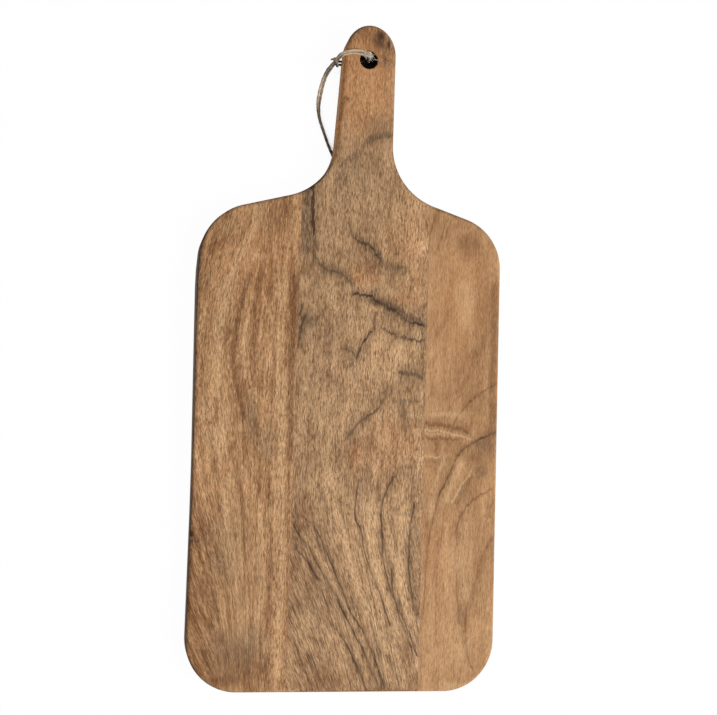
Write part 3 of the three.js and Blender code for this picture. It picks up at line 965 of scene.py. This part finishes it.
TWINE_ROUTE = (
    # first strand, from the knot under the neck up to the hitch beside the handle
    lying(-10.6, -76.6, KNOT_MIDDLE),
    lying(-14.6, -69.8, HIGH - 0.4),
    lying(-20.2, -60.1, HIGH),
    lying(-26.4, -44.9, HIGH),
    lying(-29.3, -36.5, HIGH),
    lying(-30.5, -29.7, HIGH),
    free(-31.0, -23.3, 1.5),
    free(-29.0, -12.4, 8.0),
    free(-27.2, -8.1, 12.4),
    free(-25.6, -5.9, 15.0),
    free(-23.2, -3.3, 17.3),
    free(-21.5, -0.7, 18.9),
    free(-19.2, 1.5, 20.4),
    # over the face and down the hole
    over(-16.2, 3.2, 1.4),
    over(-12.8, 4.2, 1.3),
    over(-7.4, 5.0, 0.7),
    over(-2.0, 4.5),
    free(0.4, 4.5, 18.15),
    free(1.4, 4.5, 15.75),
    free(1.4, 4.5, 2.25),
    free(0.4, 4.5, -0.15),
    under(-2.0, 4.5),
    under(-10.0, 3.9),
    under(-17.2, 3.4),
    # up beside the handle, round the two strands and down again
    free(-19.5, 3.3, -0.15),
    free(-20.4, 3.3, 2.25),
    free(-20.9, 2.5, 7.4),
    free(-22.3, 1.1, 11.2),
    free(-24.0, -0.6, 14.0),
    free(-25.2, -1.8, 16.6),
    free(-24.7, -2.3, 18.8),
    free(-22.9, -3.7, 19.8),
    free(-21.2, -5.2, 18.8),
    free(-20.7, -5.7, 16.6),
    free(-20.6, -5.3, 13.8),
    free(-20.5, -4.0, 11.0),
    free(-20.4, -1.6, 6.8),
    free(-20.5, 1.3, 2.25),
    free(-19.6, 1.3, -0.15),
    # back under the board, up the hole and over the face
    under(-17.2, 1.2),
    under(-10.0, 1.7),
    under(-2.0, 2.3),
    free(0.4, 2.3, -0.15),
    free(1.4, 2.3, 2.25),
    free(1.4, 2.3, 15.75),
    free(0.4, 2.3, 18.15),
    over(-2.0, 2.3),
    over(-7.2, 3.0),
    over(-12.6, 2.9),
    over(-15.8, 2.0),
    # second strand, through the hitch and down beside the first to the knot
    free(-18.3, 0.5, 19.1),
    free(-20.3, -1.3, 17.4),
    free(-22.3, -3.4, 15.4),
    free(-24.0, -6.1, 13.4),
    free(-25.5, -8.1, 11.4),
    free(-27.4, -12.3, 6.8),
    free(-29.1, -22.7, 0.2),
    lying(-29.2, -29.2, LOW + 0.3),
    lying(-28.5, -36.1, LOW + 0.2),
    lying(-25.7, -44.6, LOW + 0.1),
    lying(-19.4, -59.7, LOW + 0.1),
    lying(-12.9, -68.9, LOW + 0.4),
    lying(-8.7, -75.7, KNOT_MIDDLE),
)


ROUTE_SPACING = 0.45
ROUTE_STEPS = 24
NOT_ALONG = (0.31, 0.17, 0.93)  # no path starts in this direction


def smooth_route(points, spacing):
    """Points at even distances on a smooth curve through the given ones."""
    points = np.array(points, float)
    ends = np.vstack((2 * points[0] - points[1], points, 2 * points[-1] - points[-2]))
    knots = np.sqrt(np.linalg.norm(np.diff(ends, axis=0), axis=1))[:, None]
    line = [points[0]]
    for i in range(1, len(ends) - 2):
        before, here, after, beyond = ends[i - 1:i + 3]
        k0, k1, k2 = knots[i - 1], knots[i], knots[i + 1]
        leave = k1 * ((here - before) / k0 - (after - before) / (k0 + k1) + (after - here) / k1)
        arrive = k1 * ((after - here) / k1 - (beyond - here) / (k1 + k2) + (beyond - after) / k2)
        for t in np.linspace(0, 1, ROUTE_STEPS + 1)[1:]:
            line.append(
                (2 * t**3 - 3 * t**2 + 1) * here
                + (t**3 - 2 * t**2 + t) * leave
                + (3 * t**2 - 2 * t**3) * after
                + (t**3 - t**2) * arrive
            )
    line = np.array(line)
    reach = np.concatenate(([0], np.cumsum(np.linalg.norm(np.diff(line, axis=0), axis=1))))
    even = np.linspace(0, reach[-1], round(reach[-1] / spacing) + 1)
    return np.column_stack([np.interp(even, reach, line[:, axis]) for axis in range(3)])


def carried_frames(path):
    """Two directions across a path at each of its points, turned as little as possible along it."""
    along = np.gradient(path, axis=0)
    along /= np.linalg.norm(along, axis=1)[:, None]
    side = np.cross(along[0], NOT_ALONG)
    frames = []
    for direction in along:
        side = unit(side - direction * (side @ direction))
        frames.append((side, np.cross(direction, side)))
    return frames


# Looks of the twine
TWINE_DARK = (152, 125, 97)
TWINE_LIGHT = (242, 220, 190)
# Darker ends of the twine's colour, for its grime and its painted shade
GRIME_AND_SHADE_DARK = (80, 70, 60)
GRIME_AND_SHADE_LIGHT = (144, 132, 118)
FIBRE_DULL = (184, 168, 146)
FIBRE_PALE = (250, 243, 228)
TWINE_BUMP = 0.6
TWINE_LENGTH = 0.352  # metres, of which the shares below are taken
PRESSED_TWINE = 0.7  # how thick the twine is where the hitch squeezes it
HITCH_TURN = (0.455, 0.56)  # shares of the twine's length between which it goes round its own strands
# How bleached and how lit the twine is at shares of its length, from the knot over the hole and back to
# the knot: its bleaching and grime, and painted light and shade on its lit and shaded stretches
TWINE_BLEACH_AND_LIGHT = (
    (0, 0.35), (0.1, 0.4), (0.125, 0.15), (0.15, 0.55), (0.185, 0.9), (0.21, 0.5), (0.23, 0.1), (0.25, 0.2),
    (0.275, 0.7), (0.31, 1), (0.36, 0.7), (0.42, 0), (0.45, 0.1), (0.475, 0.8), (0.5, 0.2), (0.53, 0),
    (0.62, 0), (0.68, 0.8), (0.715, 0.85), (0.74, 0.25), (0.77, 0.05), (0.8, 0.4), (0.84, 0.35), (0.87, 0.1),
    (1, 0),
)
# The twine's two plies: how far they take to turn once, and how deep the groove between them is
PLY_PITCH = 8.5
PLY_GROOVE = 0.18
TWINE_SIDES = 14
# How far the twine's thickness swings, waves of that per millimetre, and its unevenness along and round it
SLACK_SWING = 0.04
SLACK_WAVES = 0.9
UNEVEN_ALONG = 0.02
UNEVEN_ROUND = 0.03
HAIR_BEND = 0.28
HAIR_TAPER = 0.8  # share of its thickness that a fibre loses towards its tip


def add_twine(mesh, path, radius, random, pressed=(1, 1)):
    """A two-ply twine along a path: a lobed section that turns along its length, rough with fibres.
    It is thinner where it is pressed, between two shares of its length."""
    lay = mesh.verts.layers.float_vector.get("lay") or mesh.verts.layers.float_vector.new("lay")
    reach = np.concatenate(([0], np.cumsum(np.linalg.norm(np.diff(path, axis=0), axis=1))))
    rings = []
    for place, length, (side, up) in zip(path, reach, carried_frames(path)):
        twist = 2 * math.pi * length / PLY_PITCH
        slack = 1 + SLACK_SWING * math.sin(length * SLACK_WAVES) + random.normal(0, UNEVEN_ALONG)
        thin = PRESSED_TWINE if pressed[0] < length / reach[-1] < pressed[1] else 1
        loop = []
        for k in range(TWINE_SIDES):
            turn = 2 * math.pi * k / TWINE_SIDES
            lobe = 1 - PLY_GROOVE + PLY_GROOVE * abs(math.cos(turn - twist))
            out = radius * thin * slack * lobe * (1 + random.normal(0, UNEVEN_ROUND))
            spot = place + out * (math.cos(turn) * side + math.sin(turn) * up)
            vertex = mesh.verts.new(MM * Vector(spot))
            vertex[lay] = (MM * length, math.cos(turn - twist), math.sin(turn - twist))
            loop.append(vertex)
        rings.append(loop)
    close_tube(mesh, rings)


def add_hair(mesh, root, direction, length, thickness, random, droop=0.0, steps=5):
    """One loose fibre: a thin three-sided strand that bends as it goes and ends in a point."""
    path = [np.array(root, float)]
    heading = np.array(direction, float)
    bend = random.normal(0, HAIR_BEND, 3)
    for _ in range(steps):
        heading = unit(heading + bend / steps + np.array((0, 0, -droop / steps)))
        path.append(path[-1] + heading * length / steps)
    path = np.array(path)
    rings = []
    for i, (place, (side, up)) in enumerate(zip(path, carried_frames(path))):
        thick = thickness / 2 * (1 - HAIR_TAPER * i / steps)
        rings.append([
            mesh.verts.new(MM * Vector(place + thick * (math.cos(a) * side + math.sin(a) * up)))
            for a in (0, 2 * math.pi / 3, 4 * math.pi / 3)
        ])
    close_tube(mesh, rings)


def close_tube(mesh, rings):
    skin(mesh, rings)
    mesh.faces.new(rings[0])
    mesh.faces.new(rings[-1])


def add_jute(name, mesh, body, material):
    """A piece of jute from the mesh that was built for it."""
    bmesh.ops.recalc_face_normals(mesh, faces=mesh.faces)
    for face in mesh.faces:
        face.smooth = True
    data = bpy.data.meshes.new(name)
    mesh.to_mesh(data)
    mesh.free()
    return add_object(name, data, body, material)


def twine_material():
    """Jute: fibres that run along the turned plies, bleached at the hole and grimy near the knot, with
    painted light and shade along its length and painted shade in the grooves between its plies.
    """
    t = new_material("jute_twine")
    lay = t.add("ShaderNodeAttribute")
    lay.attribute_name = "lay"
    parts = t.add("ShaderNodeSeparateXYZ")
    t.put(parts.inputs[0], lay.outputs["Vector"])
    length, right, up = parts.outputs

    def along_plies(waves, waves_round):
        return t.join(t.times(length, waves), t.times(right, waves_round), t.times(up, waves_round))

    fibres = t.noise(along_plies(260, 4.5), 3, 0.65)
    patches = t.noise(along_plies(60, 1.2), 2)
    bleach_and_light = t.curve(t.math("DIVIDE", length, TWINE_LENGTH), TWINE_BLEACH_AND_LIGHT)
    # Painted shade in the grooves between the plies
    groove_shade = t.fit(t.absolute(right), 0.1, 0.7, 0.72, 1.0)
    dark = t.mix(bleach_and_light, linear(*GRIME_AND_SHADE_DARK), linear(*TWINE_DARK))
    light = t.mix(bleach_and_light, linear(*GRIME_AND_SHADE_LIGHT), linear(*TWINE_LIGHT))
    colour = t.mix(t.fit(fibres, 0.3, 0.7), dark, light)
    colour = t.mix(t.fit(patches, 0.35, 0.65, 0.0, 0.35), colour, dark)
    colour = t.shaded(colour, groove_shade)
    t.put_all(t.shader, Base_Color=colour, Roughness=0.9, Specular_IOR_Level=0.1)
    t.bump(fibres, TWINE_BUMP)
    return t.owner


def fibre_material():
    f = new_material("jute_fibre")
    colour = f.mix(f.even_noise(700, 1), linear(*FIBRE_DULL), linear(*FIBRE_PALE))
    f.put_all(f.shader, Base_Color=colour, Roughness=0.8)
    return f.owner


twine_jute = twine_material()
loose_jute = fibre_material()

# Room for loose fibres: they stay out of the wood, and off the table, by these distances
WOOD_ROOM = 0.25
TABLE_ROOM = 0.1
HINGE_PLACE = (HOLE_OFFSET + 1.4, HOLE_HEIGHT + 3.4)
HANDLE_SWEEP = 21.4  # the handle's end stays within this distance of the hinge
HOLE_SWEEP = 2.1  # what is this near the hinge turns inside the hole
BESIDE_HANDLE = (-20, NECK_HEIGHT + 40)  # left of this and above it there is no wood beside the handle


def clear_of_board(point):
    """True where a point on the loop stays out of the wood at rest and wherever the loop swings."""
    if not -WOOD_ROOM < point[2] < BOARD_THICKNESS + WOOD_ROOM:
        return True
    from_hinge = math.hypot(point[0] - HINGE_PLACE[0], point[1] - HINGE_PLACE[1])
    beside_handle = point[0] < BESIDE_HANDLE[0] and point[1] > BESIDE_HANDLE[1]
    return from_hinge < HOLE_SWEEP or (from_hinge > HANDLE_SWEEP and beside_handle)


def above_table(point):
    return (point[1] - EDGE_ROUND) * math.sin(TILT) + point[2] * math.cos(TILT) > TABLE_ROOM


# Loose fibres all along the twine, and the tuft over the hole: how many, how long and how thick they are
FUZZ_COUNT = 900
FUZZ_LENGTH = (0.7, 2.2)
FUZZ_THICKNESS = (0.05, 0.09)
FUZZ_ROOT = 0.6  # share of the twine's radius at which they start
FUZZ_SLANT = (0.4, 1.5)
TUFT_COUNT = 120
TUFT_LENGTH = (2, 4.5)
TUFT_THICKNESS = (0.14, 0.3)
TUFT_ROOTS = ((-4.5, 0.5), (2.2, 5.0), (19.2, 20.2))
TUFT_HEADING = (0.75, -0.6, -0.1)
TUFT_SPREAD = 0.25
# The knot: turns of its wraps, their room, and its two tails' spread and length
KNOT_TURNS = 3.2
KNOT_STEPS = 96
KNOT_ROOM = 1.08
KNOT_TAILS = ((-0.5, 8.5), (0.45, 7.0))
CORE_THICKNESS = 0.9
TAIL_THICKNESS = 0.85
TAIL_START = 0.6
FRAYED_COUNT = 26
FRAYED_LENGTH = (1.5, 4)
FRAYED_THICKNESS = 0.12


def add_fuzz(path, random):
    mesh = bmesh.new()
    for _ in range(FUZZ_COUNT):
        i = random.integers(4, len(path) - 4)
        along = unit(path[i + 1] - path[i - 1])
        out = unit(np.cross(along, random.normal(0, 1, 3)))
        heading = unit(out + along * random.choice((-1, 1)) * random.uniform(*FUZZ_SLANT))
        root = path[i] + FUZZ_ROOT * TWINE_RADIUS * out
        length = random.uniform(*FUZZ_LENGTH)
        points = [root + heading * length * share for share in (0.5, 1)]
        if all(clear_of_board(p) and above_table(p) for p in points):
            add_hair(mesh, root, heading, length, random.uniform(*FUZZ_THICKNESS), random)
    for _ in range(TUFT_COUNT):
        root = np.array(free(*[random.uniform(*sides) for sides in TUFT_ROOTS]))
        heading = unit(random.normal(TUFT_HEADING, TUFT_SPREAD))
        length = random.uniform(*TUFT_LENGTH)
        if all(clear_of_board(root + heading * length * share) for share in (0, 0.5, 1)):
            add_hair(mesh, root, heading, length, random.uniform(*TUFT_THICKNESS), random)
    # one thick end that sticks out of the first strand
    add_hair(mesh, free(-30.4, -19.5, 3.6), (-0.97, 0.1, 0.2), 2.0, 0.4, random)
    return add_jute("jute_fuzz", mesh, "hanging_loop", loose_jute)


def add_knot(random):
    """The knot's wraps round its core, and its two tails with their frayed ends."""
    mesh = bmesh.new()
    centre = np.array(lying(*KNOT_PLACE, KNOT_MIDDLE))
    axis = np.array((math.sin(KNOT_HEADING), -math.cos(KNOT_HEADING), 0))
    side = np.array((math.cos(KNOT_HEADING), math.sin(KNOT_HEADING), 0))
    up = np.array((0, 0, 1))
    wrap_radius = KNOT_DIAMETER / 2 - TWINE_RADIUS * KNOT_ROOM
    wraps = []
    for i in range(KNOT_STEPS + 1):
        share = i / KNOT_STEPS
        turn = 2 * math.pi * KNOT_TURNS * share
        offset = (share - 0.5) * (KNOT_LENGTH - TWINE_DIAMETER)
        wraps.append(centre + axis * offset + wrap_radius * (math.cos(turn) * side + math.sin(turn) * up))
    add_twine(mesh, np.array(wraps), TWINE_RADIUS, random)
    half = KNOT_LENGTH / 2
    core = [centre + axis * k for k in np.linspace(-half, half, 15)]
    add_twine(mesh, np.array(core), TWINE_RADIUS * CORE_THICKNESS, random)
    for spread, reach in KNOT_TAILS:
        heading = axis * math.cos(spread) + side * math.sin(spread)
        start = centre + axis * (half - TAIL_START)
        tail = []
        for share in np.linspace(0, 1, 18):
            lower = (KNOT_MIDDLE - LOW) * min(1, 2 * share)
            tail.append(start + heading * reach * share + side * spread - up * lower)
        add_twine(mesh, np.array(tail), TWINE_RADIUS * TAIL_THICKNESS, random)
        for _ in range(FRAYED_COUNT):
            out = heading + random.normal(0, 0.3, 3)
            out[2] = abs(out[2]) * 0.5
            add_hair(mesh, tail[-1], unit(out), random.uniform(*FRAYED_LENGTH), FRAYED_THICKNESS, random)
    return add_jute("jute_knot", mesh, "hanging_loop", twine_jute)


def make_twine():
    random = np.random.default_rng(7)
    path = smooth_route(TWINE_ROUTE, ROUTE_SPACING)
    mesh = bmesh.new()
    add_twine(mesh, path, TWINE_RADIUS, random, pressed=HITCH_TURN)
    twine = add_jute("jute_loop", mesh, "hanging_loop", twine_jute)
    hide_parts("twine_loop")
    hairs = add_fuzz(path, random)
    knot = add_knot(random)
    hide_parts("twine_knot")


STUCK_THICKNESS = 0.16
STUCK_LENGTH = (2.6, 4.2)
STRAY_LENGTH = 13.0
STRAY_HEADINGS = ((0.55, 0.05, 0.12), (0.62, -0.08, 0.1))


def make_stuck_fibres():
    """Frayed fibres in the hole, and two that lie over the face to the handle's right edge."""
    random = np.random.default_rng(19)
    mesh = bmesh.new()
    for turn in np.linspace(math.radians(150), math.radians(335), 13):
        heading = unit(np.array((math.cos(turn), math.sin(turn), random.uniform(-0.25, 0.35))))
        add_hair(mesh, free(1.2, 2.0, 15.5), heading, random.uniform(*STUCK_LENGTH), STUCK_THICKNESS, random)
    for heading in STRAY_HEADINGS:
        same_bend = np.random.default_rng(3)
        heading = unit(np.array(heading))
        add_hair(mesh, free(3.0, 0.6, 17.6), heading, STRAY_LENGTH, STUCK_THICKNESS, same_bend, 0.1, 9)
    add_jute("stray_fibres", mesh, "board", loose_jute)


make_twine()
make_stuck_fibres()

# Floor, background and light. Lengths are in metres
FLOOR_REACH = 6
FLOOR_DROP = 0.0001
# Painted shadow under the hole and close under the board
FLOOR_PAINTED_SHADOW = (0.02, 0.02, 0.02, 1)
FLOOR_PALE = (0.8, 0.8, 0.8, 1)
FLOOR_WHITENING = 0.98
SHADOW_REACH = 0.03
OPEN_SKY = (0.1, 0.3)  # shares of open sky between which the contact shadow ends
HOLE_SHADE = (0.010, 0.013)  # distances from the hole's middle between which its shade ends
WORLD_LEFT = 0.096
WORLD_RIGHT = 0.48
WHITE = (1, 1, 1, 1)


def make_floor():
    """A pale floor that is plain white to the camera, with a painted dark shadow under the hole and close
    under the board.
    """
    mesh = bpy.data.meshes.new("floor")
    corners = [(FLOOR_REACH * x, FLOOR_REACH * y, 0) for x, y in ((-1, -1), (1, -1), (1, 1), (-1, 1))]
    mesh.from_pydata(corners, [], [(0, 1, 2, 3)])
    floor = bpy.data.objects.new("floor", mesh)
    bpy.context.scene.collection.objects.link(floor)
    floor.location.z = -FLOOR_DROP
    f = new_material("floor")
    covered = f.add("ShaderNodeAmbientOcclusion")
    covered.samples = 8
    f.put_all(covered, Distance=SHADOW_REACH)
    from_hole = f.add("ShaderNodeVectorMath")
    from_hole.operation = "DISTANCE"
    f.put(from_hole.inputs[0], f.add("ShaderNodeNewGeometry").outputs["Position"])
    below = BOARD_TO_ROW @ (MM * Vector((HOLE_OFFSET, HOLE_HEIGHT, 0)))
    f.put(from_hole.inputs[1], (below.x, below.y, 0))
    beside_hole = f.fit(from_hole.outputs["Value"], *HOLE_SHADE)
    open_floor = f.math("MINIMUM", beside_hole, f.fit(covered.outputs["AO"], *OPEN_SKY))
    # Painted shadow: the floor's colour goes dark under the hole and close under the board
    colour = f.mix(open_floor, FLOOR_PAINTED_SHADOW, FLOOR_PALE)
    f.put_all(f.shader, Base_Color=colour, Roughness=0.9, Specular_IOR_Level=0.1)
    whitened = f.times(f.seen_directly(), f.times(open_floor, FLOOR_WHITENING))
    blend = f.add("ShaderNodeMixShader")
    white = f.add("ShaderNodeEmission")
    for socket, value in zip(blend.inputs, (whitened, f.shader.outputs[0], white.outputs[0])):
        f.put(socket, value)
    f.put(f.tree.nodes["Material Output"].inputs[0], blend.outputs[0])
    mesh.materials.append(f.owner)


def make_world():
    """Soft light that comes more from the right and the foot; a ray from the camera sees plain white."""
    world = bpy.data.worlds.new("studio")
    bpy.context.scene.world = world
    sky = Nodes(world)
    parts = sky.add("ShaderNodeSeparateXYZ")
    sky.put(parts.inputs[0], sky.add("ShaderNodeTexCoord").outputs["Generated"])
    from_right = sky.minus(parts.outputs[0], parts.outputs[1])
    level = sky.fit(from_right, -1, 1, WORLD_LEFT, WORLD_RIGHT, smooth=False)
    strength = sky.fit(sky.seen_directly(), 0, 1, level, 1, smooth=False)
    sky.put_all(sky.tree.nodes["Background"], Color=WHITE, Strength=strength)


def make_lamp(name, place, size, power):
    data = bpy.data.lights.new(name, "AREA")
    data.size = size
    data.energy = power
    lamp = bpy.data.objects.new(name, data)
    lamp.location = place
    lamp.rotation_euler = (-Vector(place)).to_track_quat("-Z", "Y").to_euler()
    bpy.context.scene.collection.objects.link(lamp)


make_floor()
make_world()
make_lamp("key", (1.2, -0.6, 2.1), 1.0, 60)

bpy.context.scene.view_settings.view_transform = "Standard"
